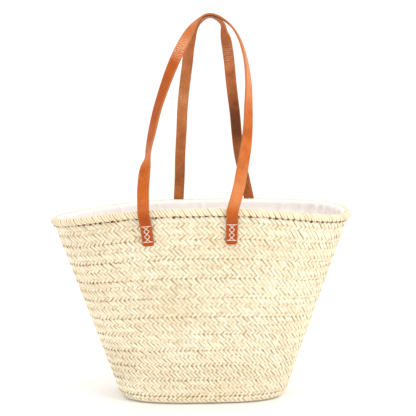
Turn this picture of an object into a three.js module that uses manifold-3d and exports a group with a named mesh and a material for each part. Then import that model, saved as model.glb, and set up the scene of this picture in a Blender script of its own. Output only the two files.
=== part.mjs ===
// Woven market basket: a tapered tub of plaited palm leaf, a bound rim, a cotton
// lining and two long leather handles that swing outwards over the rim.
//
// Millimetres, +Z up. The origin is on the ground under the middle of the base,
// +X runs along the length of the basket and -Y is its front.

import * as THREE from 'three';
import { mergeVertices } from 'three/addons/utils/BufferGeometryUtils.js';
import Module from 'manifold-3d';

// ---- driving dimensions -------------------------------------------------

const RIM = { halfLength: 229.2, halfWidth: 105, squareness: 2.3 };   // middle of the rim rope
const FOOT = { halfLength: 128, halfWidth: 63, squareness: 3.0 };  // wall carried down to the ground
const RIM_HEIGHT = 299;          // middle of the rim rope above the ground, half-way along a side
const RIM_ARCH = 7;              // the wall is this much shorter at its ends than at its sides
const FRONT_RISE = 2.5;          // the front of the rim stands up by this, half-way along
const FRONT_SAG = 2.7;           // and sags by this between there and the ends
const BACK_DIP = 2;              // the back of the rim sags by this, half-way along
const LEFT_LIFT = 3.4;           // the left-hand end stands up by this
const RIGHT_LIFT = 12;           // the right-hand end, which was pulled up, by this
const RIGHT_BEARING = 0.3;       // where it stands up most
const CORNER_RADIUS = 14;        // wall into base, on the middle of the plait
const WALL_THICKNESS = 4;        // one plait
// Where each turn of plait ends, up the middle of a side from the ground. The plait was worked
// narrower near the base.
const TURN_ENDS = [22, 48, 72, 97, 123, 151, 181, 211, 241, 271, 306];
const SHINGLE_STEP = 0.6;        // each turn stands out by this at its foot and in at its head
const GAP = 0.35;                // between pieces that touch

const BINDING_RADIUS = 5.7;        // over the rim rope
const BINDING_SKIRT = 4.2;         // how far the binding reaches down from the rope
const BINDING_CORE_GAP = 3.9;    // room for the rope inside the binding
const ROPE_RADIUS = 3.3;
const ROPE_SIDES = 6;

const LINING_THICKNESS = 1.2;
const LINING_SPACE = 2.95;       // outer face of the lining in from the middle of the plait

const STRAP_WIDTH = 17;
const STRAP_THICKNESS = 2.8;
const SEWN_LENGTH = 32;          // part of each strap that lies flat on the wall
const SEWN_CORNER = 3.5;         // rounding of the strap's end
const SEWN_TOP = 14;             // top of the sewn part below the middle of the rim rope
const THREAD = 1.2;
const STITCH_LENGTH = 23.7;      // from the top bar of the stitching to the bottom bar
const CROSSES = 3;
const CROSS_WIDTH = 8;
const CROWN_Y = 10.8;            // how far each crown keeps from the middle plane
const CROWN_Z = 595;
const LEAN_FOOT = { y: 111, z: 312 };   // where a handle leaves the rim and starts to lean in

const RING_STEPS = 56;           // stations round the basket
const STRAP_STEPS = 60;          // stations along a handle

// Each handle runs from its left leg over the crown to its right leg. A leg says where it is
// sewn on and how far it leans sideways. A point says how far the leather is turned, in
// degrees: 0 shows its smooth face to the outside, 90 shows it away from the loop.
const HANDLES = [
  {
    name: 'front', side: -1,
    legs: [{ name: 'left', x: -78.5, lean: -6 }, { name: 'right', x: 45.5, lean: 2 }],
    points: [
      { x: -81.5, z: 330, turn: 3 }, { x: -80.3, z: 352, turn: 14 }, { x: -78.6, z: 367, turn: 34 },
      { x: -75.8, z: 380, turn: 64 }, { x: -73.8, z: 396, turn: 62 }, { x: -69.5, z: 418, turn: 52 }, { x: -61.5, z: 453, turn: 47 }, { x: -49.7, z: 489, turn: 37 },
      { x: -34.5, z: 526, turn: 25 }, { x: -17.5, z: 561, turn: 32 }, { x: 0.5, z: 588, turn: 78 },
      { x: 20, z: CROWN_Z, turn: 90 }, { x: 43, z: 584, turn: 86 }, { x: 60, z: 562, turn: 80 },
      { x: 70, z: 530, turn: 74 }, { x: 73.7, z: 492, turn: 62 }, { x: 73, z: 456, turn: 49 },
      { x: 70.8, z: 418, turn: 38 }, { x: 65.8, z: 382, turn: 20 }, { x: 57.5, z: 342, turn: 3 },
    ],
  },
  {
    name: 'back', side: 1,
    legs: [{ name: 'left', x: -39, lean: 1 }, { name: 'right', x: 83, lean: -5 }],
    points: [
      { x: -36.7, z: 336, turn: 0 }, { x: -34.3, z: 372, turn: 0 }, { x: -31.5, z: 410, turn: 4 },
      { x: -28.6, z: 450, turn: 6 }, { x: -24.2, z: 488, turn: 4 }, { x: -19.3, z: 524, turn: 8 },
      { x: -14, z: 556, turn: 30 }, { x: -3.5, z: 583, turn: 70 }, { x: 17, z: CROWN_Z + 0.5, turn: 90 },
      { x: 36.4, z: 586, turn: 82 }, { x: 40.6, z: 571, turn: 56 }, { x: 43.4, z: 557, turn: 22 },
      { x: 48, z: 526, turn: 8 },
      { x: 52.5, z: 488, turn: 4 }, { x: 57, z: 450, turn: 2 }, { x: 61, z: 410, turn: 0 },
      { x: 66, z: 372, turn: 0 }, { x: 74.5, z: 336, turn: 0 },
    ],
  },
];

const COLOURS = {
  palm: 0xf1e3bd, palmShade: 0xe6d3a6, binding: 0xeddcb4, rope: 0xcfb98a,
  cotton: 0xfbf6ee, leather: 0xc9703a, thread: 0xf6f1e6,
};

// ---- geometry helpers ---------------------------------------------------

const vec = (x, y, z) => new THREE.Vector3(x, y, z);

// A closed mesh from corner points and triangles, turned so that its faces point outwards.
function closedGeometry(points, triangles) {
  let volume = 0;
  for (const [a, b, c] of triangles) {
    volume += points[a].dot(points[b].clone().cross(points[c]));
  }
  const geometry = new THREE.BufferGeometry().setFromPoints(points);
  geometry.setIndex(triangles.flatMap(([a, b, c]) => (volume > 0 ? [a, b, c] : [a, c, b])));
  geometry.computeVertexNormals();
  return geometry;
}

// Skins a row of equal outlines. A closed row makes a ring; an open row gets two end faces.
function skin(outlines, closed) {
  const count = outlines[0].length;
  const triangles = [];
  const spans = closed ? outlines.length : outlines.length - 1;
  for (let i = 0; i < spans; i += 1) {
    const next = (i + 1) % outlines.length;
    for (let j = 0; j < count; j += 1) {
      const k = (j + 1) % count;
      const [a, b, c, d] = [i * count + j, i * count + k, next * count + k, next * count + j];
      triangles.push([a, b, c], [a, c, d]);
    }
  }
  if (!closed) {
    const last = (outlines.length - 1) * count;
    for (let j = 1; j < count - 1; j += 1) {
      triangles.push([0, j + 1, j], [last, last + j, last + j + 1]);
    }
  }
  return closedGeometry(outlines.flat(), triangles);
}

// A ring whose outline at each bearing round the basket is given by a function.
function ring(outlineAt) {
  const outlines = [];
  for (let i = 0; i < RING_STEPS; i += 1) {
    outlines.push(outlineAt((i / RING_STEPS) * 2 * Math.PI));
  }
  return skin(outlines, true);
}

// ---- shape of the basket ------------------------------------------------

// Squared oval of the basket's plan, by bearing.
function planPoint({ halfLength, halfWidth, squareness }, bearing) {
  const c = Math.cos(bearing);
  const s = Math.sin(bearing);
  const power = 2 / squareness;
  return vec(
    halfLength * Math.sign(c) * Math.abs(c) ** power,
    halfWidth * Math.sign(s) * Math.abs(s) ** power,
    0,
  );
}

// Level direction that points out of the wall.
function outwards(bearing) {
  const step = 0.02;
  const along = planPoint(RIM, bearing + step).sub(planPoint(RIM, bearing - step));
  along.add(planPoint(FOOT, bearing + step)).sub(planPoint(FOOT, bearing - step));
  return vec(along.y, -along.x, 0).normalize();
}

// The wall's line at one bearing for a given rim height: a quarter turn up from the ground,
// then straight to the rim. Every distance is along the middle of the plait.
function wallLine(bearing, height) {
  const out = outwards(bearing);
  const foot = planPoint(FOOT, bearing);
  const rim = planPoint(RIM, bearing).setZ(height);
  const slope = Math.atan2(rim.clone().sub(foot).dot(out), height);
  const centreZ = CORNER_RADIUS + WALL_THICKNESS / 2;
  const centre = foot.clone().lerp(planPoint(RIM, bearing), centreZ / height)
    .addScaledVector(out, -CORNER_RADIUS / Math.cos(slope)).setZ(centreZ);
  const normal = out.clone().multiplyScalar(Math.cos(slope)).setZ(-Math.sin(slope));
  const tangent = centre.clone().addScaledVector(normal, CORNER_RADIUS);
  const arc = CORNER_RADIUS * (Math.PI / 2 - slope);
  return { out, rim, centre, normal, tangent, arc, length: arc + tangent.distanceTo(rim) };
}

const SIDE_LENGTH = wallLine(Math.PI / 2, RIM_HEIGHT).length;

// How far the edge of the plait stands up above an even one, or sags below it.
function rimRise(bearing) {
  const along = Math.cos(bearing);
  const front = Math.max(0, -Math.sin(bearing));
  const back = Math.max(0, Math.sin(bearing));
  return FRONT_RISE * front ** 2 - FRONT_SAG * (2 * front * along) ** 2 - BACK_DIP * back ** 2
    - RIM_ARCH * along ** 2 + LEFT_LIFT * Math.max(0, -along) ** 8
    + RIGHT_LIFT * Math.max(0, Math.cos(bearing - RIGHT_BEARING)) ** 4;
}

// The plait is about equally wide all round, so where the wall leans out more the rim is lower.
function wallAt(bearing) {
  const length = SIDE_LENGTH + rimRise(bearing);
  let height = RIM_HEIGHT;
  for (let i = 0; i < 4; i += 1) height += length - wallLine(bearing, height).length;
  return wallLine(bearing, height);
}

// A point at a distance up the plait from the ground, and off its middle by offset.
function onWall(wall, distance, offset) {
  if (distance < wall.arc) {
    const angle = distance / CORNER_RADIUS;
    const normal = wall.out.clone().multiplyScalar(Math.sin(angle)).setZ(-Math.cos(angle));
    return wall.centre.clone().addScaledVector(normal, CORNER_RADIUS + offset);
  }
  const rise = (distance - wall.arc) / (wall.length - wall.arc);
  return wall.tangent.clone().lerp(wall.rim, rise).addScaledVector(wall.normal, offset);
}

// Outline of a band of plait or cloth: up its outer face and down its inner face.
function bandOutline(wall, distances, outer, inner) {
  const last = distances.length - 1;
  const up = distances.map((d, i) => onWall(wall, d, THREE.MathUtils.lerp(outer[0], outer[1], i / last)));
  const down = distances.map((d, i) => onWall(wall, d, THREE.MathUtils.lerp(inner[0], inner[1], i / last)));
  return [...up, ...down.reverse()];
}

// ---- sub-parts of the basket --------------------------------------------

const BASE_TURN_WIDTH = 28;      // of the turn that lies flat under the basket

function plaitTurn(index) {
  const half = WALL_THICKNESS / 2;
  const foot = index === 0 ? 0 : SHINGLE_STEP;
  const fractions = index === 0 ? [0, 0.25, 0.5, 0.75, 1] : [0, 1];
  const last = TURN_ENDS.length - 1;
  return ring((bearing) => {
    const wall = wallAt(bearing);
    const scale = (wall.length - BINDING_SKIRT) / TURN_ENDS[last];
    const from = index === 0 ? 0 : TURN_ENDS[index - 1] * scale + GAP;
    const underRope = wall.length - ROPE_RADIUS * Math.sin(Math.PI / 3) - GAP;
    const to = index === last ? underRope : TURN_ENDS[index] * scale;
    const distances = fractions.map((f) => THREE.MathUtils.lerp(from, to, f));
    return bandOutline(wall, distances, [half + foot, half - SHINGLE_STEP],
      [-half + foot, -half - SHINGLE_STEP]);
  });
}

// Flat oval inside the first turn, drawn in by a distance.
function basePoint(bearing, inset, z) {
  const long = wallAt(0).centre.x - inset;
  const wide = wallAt(Math.PI / 2).centre.y - inset;
  return planPoint({ halfLength: long, halfWidth: wide, squareness: FOOT.squareness }, bearing).setZ(z);
}

function baseTurn() {
  return ring((bearing) => [
    basePoint(bearing, GAP, 0), basePoint(bearing, GAP, WALL_THICKNESS),
    basePoint(bearing, BASE_TURN_WIDTH, WALL_THICKNESS), basePoint(bearing, BASE_TURN_WIDTH, 0),
  ]);
}

function plate(inset, bottom, thickness) {
  const outline = [];
  for (let i = 0; i < RING_STEPS; i += 1) {
    const p = basePoint((i / RING_STEPS) * 2 * Math.PI, inset, 0);
    outline.push(new THREE.Vector2(p.x, p.y));
  }
  const geometry = new THREE.ExtrudeGeometry(new THREE.Shape(outline), {
    depth: thickness, bevelEnabled: false, curveSegments: 1,
  });
  return geometry.translate(0, 0, bottom);
}

// Points of an outline round the rim rope, given as [out, up] from its middle.
const atRim = (wall, outline) => outline.map(([out, up]) => onWall(wall, wall.length + up, out));

function rimRope() {
  const outline = [];
  for (let i = 0; i < ROPE_SIDES; i += 1) {
    const angle = (i / ROPE_SIDES) * 2 * Math.PI;
    outline.push([ROPE_RADIUS * Math.cos(angle), ROPE_RADIUS * Math.sin(angle)]);
  }
  return ring((bearing) => atRim(wallAt(bearing), outline));
}

// The binding is wrapped over the rope and down both faces of the last turn.
function rimBinding() {
  const wallOut = WALL_THICKNESS / 2 + GAP;
  const wallIn = -WALL_THICKNESS / 2 - SHINGLE_STEP - GAP;
  const skirt = 1.6;
  const outline = [];
  for (const angle of [-25, 15, 52, 90, 128, 165, 205]) {
    const a = THREE.MathUtils.degToRad(angle);
    outline.push([BINDING_RADIUS * Math.cos(a), BINDING_RADIUS * Math.sin(a)]);
  }
  outline.push([wallIn - skirt, -BINDING_SKIRT], [wallIn, -BINDING_SKIRT], [wallIn, -ROPE_RADIUS + 0.1]);
  for (const angle of [200, 145, 90, 35, -20]) {
    const a = THREE.MathUtils.degToRad(angle);
    outline.push([BINDING_CORE_GAP * Math.cos(a), BINDING_CORE_GAP * Math.sin(a)]);
  }
  outline.push([wallOut, -ROPE_RADIUS + 0.1], [wallOut, -BINDING_SKIRT], [wallOut + skirt, -BINDING_SKIRT]);
  return ring((bearing) => atRim(wallAt(bearing), outline));
}

// The lining stands just inside the plait and is carried up over the inside of the binding,
// almost to the top of the rim. Its path over the binding is given as [out, up] from the rim.
function liningWall() {
  const overBinding = [[-5.4, -4.3], [-5.85, -2.7], [-6.2, 1.65], [-4.85, 4.2]];
  const backOver = [[-5.7, 5.2], [-7.4, 1.95], [-7.05, -3.1], [-6.5, -4.9]];
  const below = -BINDING_SKIRT - 2.5;
  return ring((bearing) => {
    const wall = wallAt(bearing);
    const distances = [0, wall.arc * 0.5, wall.arc, wall.length + below];
    const outer = distances.map((d) => onWall(wall, d, -LINING_SPACE));
    const inner = distances.map((d) => onWall(wall, d, -LINING_SPACE - LINING_THICKNESS));
    return [...outer, ...atRim(wall, overBinding), ...atRim(wall, backOver), ...inner.reverse()];
  });
}

// ---- sub-parts of the handles -------------------------------------------

// Where a leg stands on the wall: its middle line, up the wall by a distance from the rim.
function legPlace(handle, leg, up) {
  const x = leg.x + Math.tan(THREE.MathUtils.degToRad(leg.lean)) * (up + SEWN_TOP);
  let low = 0;
  let high = Math.PI;
  for (let i = 0; i < 40; i += 1) {
    const middle = (low + high) / 2;
    const wall = wallAt(middle);
    if (onWall(wall, wall.length + up, 0).x > x) low = middle;
    else high = middle;
  }
  return wallAt(handle.side * low);
}

// Axes of the flat, sewn part of a leg: across the strap, up the wall and out of it.
function sewnMatrix(handle, leg) {
  const up = -SEWN_TOP - SEWN_LENGTH / 2;
  const wall = legPlace(handle, leg, up);
  const rise = wall.rim.clone().sub(wall.tangent).normalize();
  const across = rise.clone().cross(wall.normal).normalize();
  const raise = wall.normal.clone().cross(across).normalize();
  const centre = onWall(wall, wall.length + up, WALL_THICKNESS / 2 + SHINGLE_STEP + GAP);
  const lean = THREE.MathUtils.degToRad(leg.lean) * handle.side;
  return new THREE.Matrix4().makeBasis(across, raise, wall.normal).setPosition(centre)
    .multiply(new THREE.Matrix4().makeRotationZ(lean));
}

// The end of a strap, flat on the wall, with two rounded corners at the bottom.
function sewnEnd(handle, leg) {
  const [w, h, r] = [STRAP_WIDTH / 2, SEWN_LENGTH / 2, SEWN_CORNER];
  const shape = new THREE.Shape();
  shape.moveTo(w, h).lineTo(-w, h).lineTo(-w, -h + r);
  shape.absarc(-w + r, -h + r, r, Math.PI, 1.5 * Math.PI, false);
  shape.lineTo(w - r, -h);
  shape.absarc(w - r, -h + r, r, 1.5 * Math.PI, 2 * Math.PI, false);
  const geometry = new THREE.ExtrudeGeometry(shape, {
    depth: STRAP_THICKNESS, bevelEnabled: false, curveSegments: 4,
  });
  return geometry.applyMatrix4(sewnMatrix(handle, leg));
}

function solidOf(wasm, geometry) {
  const bare = geometry.clone();
  bare.deleteAttribute('normal');
  bare.deleteAttribute('uv');
  const merged = mergeVertices(bare);
  return new wasm.Manifold(new wasm.Mesh({
    numProp: 3, vertProperties: merged.attributes.position.array, triVerts: merged.index.array,
  }));
}

function threadBar(length, x, y, turn) {
  const bar = new THREE.BoxGeometry(length, THREAD, THREAD);
  return bar.rotateZ(turn).translate(x, y, 0);
}

// One line of thread: a bar at each end and a chain of crosses between them.
function stitching(wasm, handle, leg) {
  const crossHeight = STITCH_LENGTH / CROSSES;
  const diagonal = Math.hypot(CROSS_WIDTH, crossHeight);
  const turn = Math.atan2(crossHeight, CROSS_WIDTH);
  const bars = [
    threadBar(STRAP_WIDTH - 2, 0, STITCH_LENGTH / 2, 0),
    threadBar(STRAP_WIDTH - 2, 0, -STITCH_LENGTH / 2, 0),
  ];
  for (let i = 0; i < CROSSES; i += 1) {
    const y = (i - (CROSSES - 1) / 2) * crossHeight;
    bars.push(threadBar(diagonal, 0, y, turn), threadBar(diagonal, 0, y, -turn));
  }
  const [first, ...rest] = bars.map((bar) => solidOf(wasm, bar));
  const mesh = rest.reduce((joined, bar) => joined.add(bar), first).getMesh();
  const geometry = new THREE.BufferGeometry();
  geometry.setAttribute('position', new THREE.BufferAttribute(mesh.vertProperties, 3));
  geometry.setIndex(new THREE.BufferAttribute(mesh.triVerts, 1));
  const topBar = SEWN_LENGTH / 2 - STITCH_LENGTH / 2 - 2;
  geometry.translate(0, topBar, STRAP_THICKNESS + GAP + THREAD / 2);
  return geometry.applyMatrix4(sewnMatrix(handle, leg));
}

// Points of the handle's middle line: over the rim at one leg, along the loop, and down again.
function handlePoints(handle) {
  const overRim = (leg) => [
    { up: -SEWN_TOP + 0.7, off: 5.7 }, { up: -3.5, off: 8.2 }, { up: 5, off: 8.2 },
  ].map(({ up, off }) => {
    const wall = legPlace(handle, leg, up);
    const p = onWall(wall, wall.length + up, off);
    const turn = Math.atan2(Math.abs(wall.out.x), Math.abs(wall.out.y));
    return new THREE.Vector4(p.x, p.y, p.z, THREE.MathUtils.radToDeg(turn));
  });
  const lean = (LEAN_FOOT.y - CROWN_Y) / (CROWN_Z - LEAN_FOOT.z);
  const loop = handle.points.map(({ x, z, turn }) => {
    const y = Math.max(CROWN_Y, LEAN_FOOT.y - lean * (z - LEAN_FOOT.z));
    return new THREE.Vector4(x, handle.side * y, z, turn);
  });
  const [left, right] = handle.legs;
  return [...overRim(left), ...loop, ...overRim(right).reverse()];
}

// A smooth curve through points, at u from 0 to 1 (uniform Catmull-Rom).
function through(points, u) {
  const place = u * (points.length - 1);
  const i = Math.min(Math.floor(place), points.length - 2);
  const t = place - i;
  const at = (k) => points[THREE.MathUtils.clamp(k, 0, points.length - 1)];
  const [a, b, c, d] = [at(i - 1), at(i), at(i + 1), at(i + 2)];
  const weights = [
    -t / 2 + t ** 2 - t ** 3 / 2, 1 - 2.5 * t ** 2 + 1.5 * t ** 3,
    t / 2 + 2 * t ** 2 - 1.5 * t ** 3, -(t ** 2) / 2 + t ** 3 / 2,
  ];
  const result = new THREE.Vector4(0, 0, 0, 0);
  [a, b, c, d].forEach((p, k) => result.addScaledVector(p, weights[k]));
  return result;
}

// The free part of a strap: a flat section carried along the handle's middle line.
function handleLoop(handle) {
  const points = handlePoints(handle);
  const outlines = [];
  for (let i = 0; i <= STRAP_STEPS; i += 1) {
    const u = i / STRAP_STEPS;
    const here = through(points, u);
    const ahead = through(points, Math.min(1, u + 0.004));
    const behind = through(points, Math.max(0, u - 0.004));
    const along = vec(ahead.x - behind.x, ahead.y - behind.y, ahead.z - behind.z).normalize();
    const facing = vec(0, handle.side, 0);
    facing.addScaledVector(along, -facing.dot(along)).normalize();
    facing.applyAxisAngle(along, THREE.MathUtils.degToRad(here.w) * handle.side);
    const across = along.clone().cross(facing).multiplyScalar(STRAP_WIDTH / 2);
    const thick = facing.multiplyScalar(STRAP_THICKNESS / 2);
    const centre = vec(here.x, here.y, here.z);
    outlines.push([
      centre.clone().add(across).add(thick), centre.clone().sub(across).add(thick),
      centre.clone().sub(across).sub(thick), centre.clone().add(across).sub(thick),
    ]);
  }
  return skin(outlines, false);
}

// ---- the assembly -------------------------------------------------------

const wasm = await Module();
wasm.setup();

const basket = new THREE.Group();

function addPart(name, geometry, color, roughness) {
  const mesh = new THREE.Mesh(geometry, new THREE.MeshStandardMaterial({ color, roughness, metalness: 0 }));
  mesh.name = name;
  basket.add(mesh);
}

addPart('base_strip', plate(BASE_TURN_WIDTH + GAP, 0, WALL_THICKNESS), COLOURS.palmShade, 0.8);
addPart('base_turn', baseTurn(), COLOURS.palm, 0.8);
for (let i = 0; i < TURN_ENDS.length; i += 1) {
  const name = `plait_turn_${String(i + 1).padStart(2, '0')}`;
  addPart(name, plaitTurn(i), i % 2 ? COLOURS.palm : COLOURS.palmShade, 0.8);
}
addPart('rim_rope', rimRope(), COLOURS.rope, 0.9);
addPart('rim_binding', rimBinding(), COLOURS.binding, 0.8);
addPart('lining_bottom', plate(GAP, WALL_THICKNESS / 2 + LINING_SPACE, LINING_THICKNESS), COLOURS.cotton, 1);
addPart('lining_wall', liningWall(), COLOURS.cotton, 1);
for (const handle of HANDLES) {
  addPart(`${handle.name}_handle_loop`, handleLoop(handle), COLOURS.leather, 0.5);
  for (const leg of handle.legs) {
    addPart(`${handle.name}_${leg.name}_sewn_end`, sewnEnd(handle, leg), COLOURS.leather, 0.5);
    addPart(`${handle.name}_${leg.name}_stitching`, stitching(wasm, handle, leg), COLOURS.thread, 0.7);
  }
}

export default basket;
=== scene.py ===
# Woven market basket: plaited palm leaf, a bound rim, a cotton lining and two long
# leather handles sewn to the outside. Flat shapes are made in millimetres, as a maker
# cuts them, and are then laid round the basket or along a handle.

import math

import bmesh
import bpy
import numpy as np
from mathutils import Matrix, Vector


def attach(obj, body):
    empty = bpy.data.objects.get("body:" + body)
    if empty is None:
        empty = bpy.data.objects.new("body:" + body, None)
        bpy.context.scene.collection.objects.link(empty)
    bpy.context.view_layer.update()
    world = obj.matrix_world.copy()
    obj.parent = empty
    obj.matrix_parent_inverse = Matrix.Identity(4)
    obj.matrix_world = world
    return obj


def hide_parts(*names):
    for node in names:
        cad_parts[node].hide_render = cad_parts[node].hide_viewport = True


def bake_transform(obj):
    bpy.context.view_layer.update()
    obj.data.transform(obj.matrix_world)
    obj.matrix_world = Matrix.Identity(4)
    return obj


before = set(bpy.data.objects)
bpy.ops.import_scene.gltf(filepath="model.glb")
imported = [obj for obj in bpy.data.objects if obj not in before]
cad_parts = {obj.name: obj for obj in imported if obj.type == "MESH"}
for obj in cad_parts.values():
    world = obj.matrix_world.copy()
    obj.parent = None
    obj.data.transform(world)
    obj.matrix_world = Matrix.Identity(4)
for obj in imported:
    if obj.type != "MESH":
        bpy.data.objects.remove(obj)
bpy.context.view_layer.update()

MM = 0.001

# ---- the basket's dimensions, in millimetres ---------------------------------

RIM = {"half_length": 229.2, "half_width": 105.0, "squareness": 2.3}
FOOT = {"half_length": 128.0, "half_width": 63.0, "squareness": 3.0}
RIM_HEIGHT = 299.0
RIM_ARCH = 7.0
FRONT_RISE = 2.5
FRONT_SAG = 2.7
BACK_DIP = 2.0
LEFT_LIFT = 3.4
RIGHT_LIFT = 12.0
RIGHT_BEARING = 0.3
CORNER_RADIUS = 14.0
WALL_HALF = 2.0
# Where each turn of plait ends, up the middle of a side from the ground.
TURN_ENDS = [22, 48, 72, 97, 123, 151, 181, 211, 241, 271, 306]
BASE_TURN_WIDTH = 28.0
SHINGLE = 0.3
SKIRT = 4.2  # how far the rim binding reaches down the wall
RIM_RADIUS = 5.8  # over the rope, strips and all
STRAP_WIDTH = 17.0
STRAP_THICK = 2.8
STRAP_CORNER = 3.5
STRAP_GAP = 2.95  # back of a sewn strap off the middle of the plait
SEWN_LENGTH = 32.0
SEWN_TOP = 14.0
STITCH_LENGTH = 23.7
STITCH_INSET = 2.0
STITCH_WIDTH = 8.0  # of a cross, and STITCH_END is how far a bar stays inside each edge
STITCH_END = 0.8
THREAD_RADIUS = 0.44
CROSSES = 3
CROWN_Y = 9.6
CROWN_Z = 595.0
LEAN_FOOT_Y = 111.0
LEAN_FOOT_Z = 312.0

LEAF = 5.0  # width of one strip of palm leaf
LEAF_THICK = 0.5
PITCH = LEAF * math.sqrt(2)  # strips run at 45 degrees, so they repeat by this
ROWS = 4  # rows of strips in one turn of plait
FOOT_ROWS = 3  # and in the first turn of the wall, which curls in under the foot
STRIP_SPACING = (6.5, 7.2)  # the closest and the furthest apart that strips of a row are
SLOT_PITCH = 8.5  # along a seam between two turns
# How deep a strip's own zero lies in the face of the plait, and how high on the base. It
# lies deeper in the first turn, so that its strips are clear of the ground.
STRIP_SEAT = 1.0
FOOT_SEAT = 1.4
BASE_SEAT = 1.7
BEHIND = 1.25  # the shaded layer is this far behind the face
SEAM = 0.35  # room between the base and what lies beside it
BASE_BACK = (1.5, 4.0)  # foot and head of the shaded layer in the base
MAP_SPACING = 31.0  # copies of a strip are this far apart on their UV map
WRAP_MAP_SPACING = 41.0
THREAD_MAP_SPACING = 9.3

WRAP_WIDTH = 4.3
WRAP_PAIR = 9.3  # the wraps of the rim lie in pairs, and the pairs repeat by this
WRAP_SLIP = 0.62  # how far a wrap slips round the rim for each millimetre that it goes over it
HEM_NARROW = 0.62  # share of its width that a wrap has at its hems

# Each handle: the side it is on, where its legs are sewn (across, lean in degrees), and
# the line of its loop (across, height, turn), where turn 0 shows the smooth face outwards.
# Its sheen and darkening is a list of (share of its length, how strong a painted highlight if above 0 or
# how dark if below), and its creases a list of (share of its length, half their stretch, how deep).
HANDLES = {
    "front": {
        "side": -1,
        "sheen_and_darkening": [
            (0.0, -0.75), (0.055, -0.8), (0.075, -0.1), (0.13, -0.1), (0.17, 0.1), (0.21, -0.2),
            (0.25, -0.5), (0.29, -0.7), (0.33, -0.55), (0.37, -0.6), (0.4, 0.15), (0.435, 0.2),
            (0.47, 0.1), (0.55, 0.0), (0.62, 0.3), (0.66, 0.45), (0.7, 0.3), (0.74, 0.0),
            (0.81, -0.05), (0.85, 0.05), (0.885, 0.3), (0.92, 0.25), (0.945, -0.2), (0.96, -0.8),
        ],
        "creased": [(0.405, 0.024, 1.0), (0.08, 0.012, 0.1), (0.9, 0.02, 0.15)],
        "legs": {"left": (-78.5, -6), "right": (45.5, 2)},
        "loop": [
            (-81.5, 330, 3), (-80.3, 352, 14), (-78.6, 367, 34), (-75.8, 380, 64),
            (-73.8, 396, 62), (-69.5, 418, 52),
            (-61.5, 453, 47), (-49.7, 489, 37), (-34.5, 526, 25), (-17.5, 561, 32),
            (0.5, 588, 78), (20, CROWN_Z, 90), (43, 584, 86), (60, 562, 80),
            (70, 530, 74), (73.7, 492, 62), (73, 456, 49), (70.8, 418, 38),
            (65.8, 382, 20), (57.5, 342, 3),
        ],
    },
    "back": {
        "side": 1,
        "sheen_and_darkening": [
            (0.0, 0.0), (0.1, 0.0), (0.13, -0.25), (0.17, 0.05), (0.25, 0.15), (0.29, 0.2),
            (0.33, 0.1), (0.42, 0.1), (0.5, 0.15), (0.58, 0.0), (0.605, -0.15), (0.63, 0.05),
            (0.665, -0.1), (0.69, -0.3), (0.73, -0.8), (0.765, -0.85), (0.8, -0.45), (0.87, -0.2),
            (0.9, 0.0),
        ],
        "creased": [(0.6, 0.02, 0.5), (0.31, 0.015, 0.4)],
        "legs": {"left": (-39, 1), "right": (83, -5)},
        "loop": [
            (-36.7, 336, 0), (-34.3, 372, 0), (-31.5, 410, 4), (-28.6, 450, 6),
            (-24.2, 488, 4), (-19.3, 524, 8), (-14, 556, 30), (-3.5, 583, 70),
            (17, CROWN_Z + 0.5, 90), (36.4, 586, 82), (40.6, 571, 56), (43.4, 557, 22),
            (48, 526, 8), (52.5, 488, 4), (57, 450, 2), (61, 410, 0), (66, 372, 0),
            (74.5, 336, 0),
        ],
    },
}


# ---- the line of the wall ----------------------------------------------------

def plan_point(plan, bearing):
    """Squared oval of the basket's plan, by bearing."""
    c = np.cos(bearing)
    s = np.sin(bearing)
    power = 2 / plan["squareness"]
    x = plan["half_length"] * np.sign(c) * np.abs(c) ** power
    y = plan["half_width"] * np.sign(s) * np.abs(s) ** power
    return np.stack([x, y, np.zeros_like(x)], axis=-1)


def dot(a, b):
    return (a * b).sum(axis=-1)


def unit(v):
    return v / np.linalg.norm(v, axis=-1, keepdims=True)


def with_height(v, z):
    return np.concatenate([v[..., :2], np.broadcast_to(z, v[..., :1].shape[:-1])[..., None]], axis=-1)


def wall_line(bearing, height):
    """The wall at each bearing: a quarter turn up from the ground, then straight to the rim."""
    step = 0.02
    along = plan_point(RIM, bearing + step) - plan_point(RIM, bearing - step)
    along += plan_point(FOOT, bearing + step) - plan_point(FOOT, bearing - step)
    out = unit(np.stack([along[..., 1], -along[..., 0], 0 * bearing], axis=-1))
    foot = plan_point(FOOT, bearing)
    rim = with_height(plan_point(RIM, bearing), height)
    slope = np.arctan2(dot(rim - foot, out), height)
    centre_z = CORNER_RADIUS + WALL_HALF
    share = (centre_z / height)[..., None]
    centre = foot + (plan_point(RIM, bearing) - foot) * share
    centre = with_height(centre - out * (CORNER_RADIUS / np.cos(slope))[..., None], centre_z)
    normal = with_height(out * np.cos(slope)[..., None], -np.sin(slope))
    tangent = centre + normal * CORNER_RADIUS
    arc = CORNER_RADIUS * (math.pi / 2 - slope)
    length = arc + np.linalg.norm(rim - tangent, axis=-1)
    return {"out": out, "rim": rim, "centre": centre, "normal": normal,
            "tangent": tangent, "arc": arc, "length": length}


SIDE_LENGTH = float(wall_line(np.array([math.pi / 2]), np.array([RIM_HEIGHT]))["length"][0])


def rim_rise(bearing):
    """How far the edge of the plait stands up above an even one, or sags below it."""
    along = np.cos(bearing)
    front = np.maximum(0, -np.sin(bearing))
    back = np.maximum(0, np.sin(bearing))
    left = np.maximum(0, -along)
    right = np.maximum(0, np.cos(bearing - RIGHT_BEARING))
    return (
        FRONT_RISE * front ** 2 - FRONT_SAG * (2 * front * along) ** 2 - BACK_DIP * back ** 2
        - RIM_ARCH * along ** 2 + LEFT_LIFT * left ** 8 + RIGHT_LIFT * right ** 4
    )


def wall_at(bearing):
    """The plait is about equally wide all round, so the rim is lower where the wall leans more."""
    bearing = np.asarray(bearing, float)
    length = SIDE_LENGTH + rim_rise(bearing)
    height = np.full_like(bearing, RIM_HEIGHT)
    for _ in range(4):
        height = height + length - wall_line(bearing, height)["length"]
    return wall_line(bearing, height)


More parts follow.
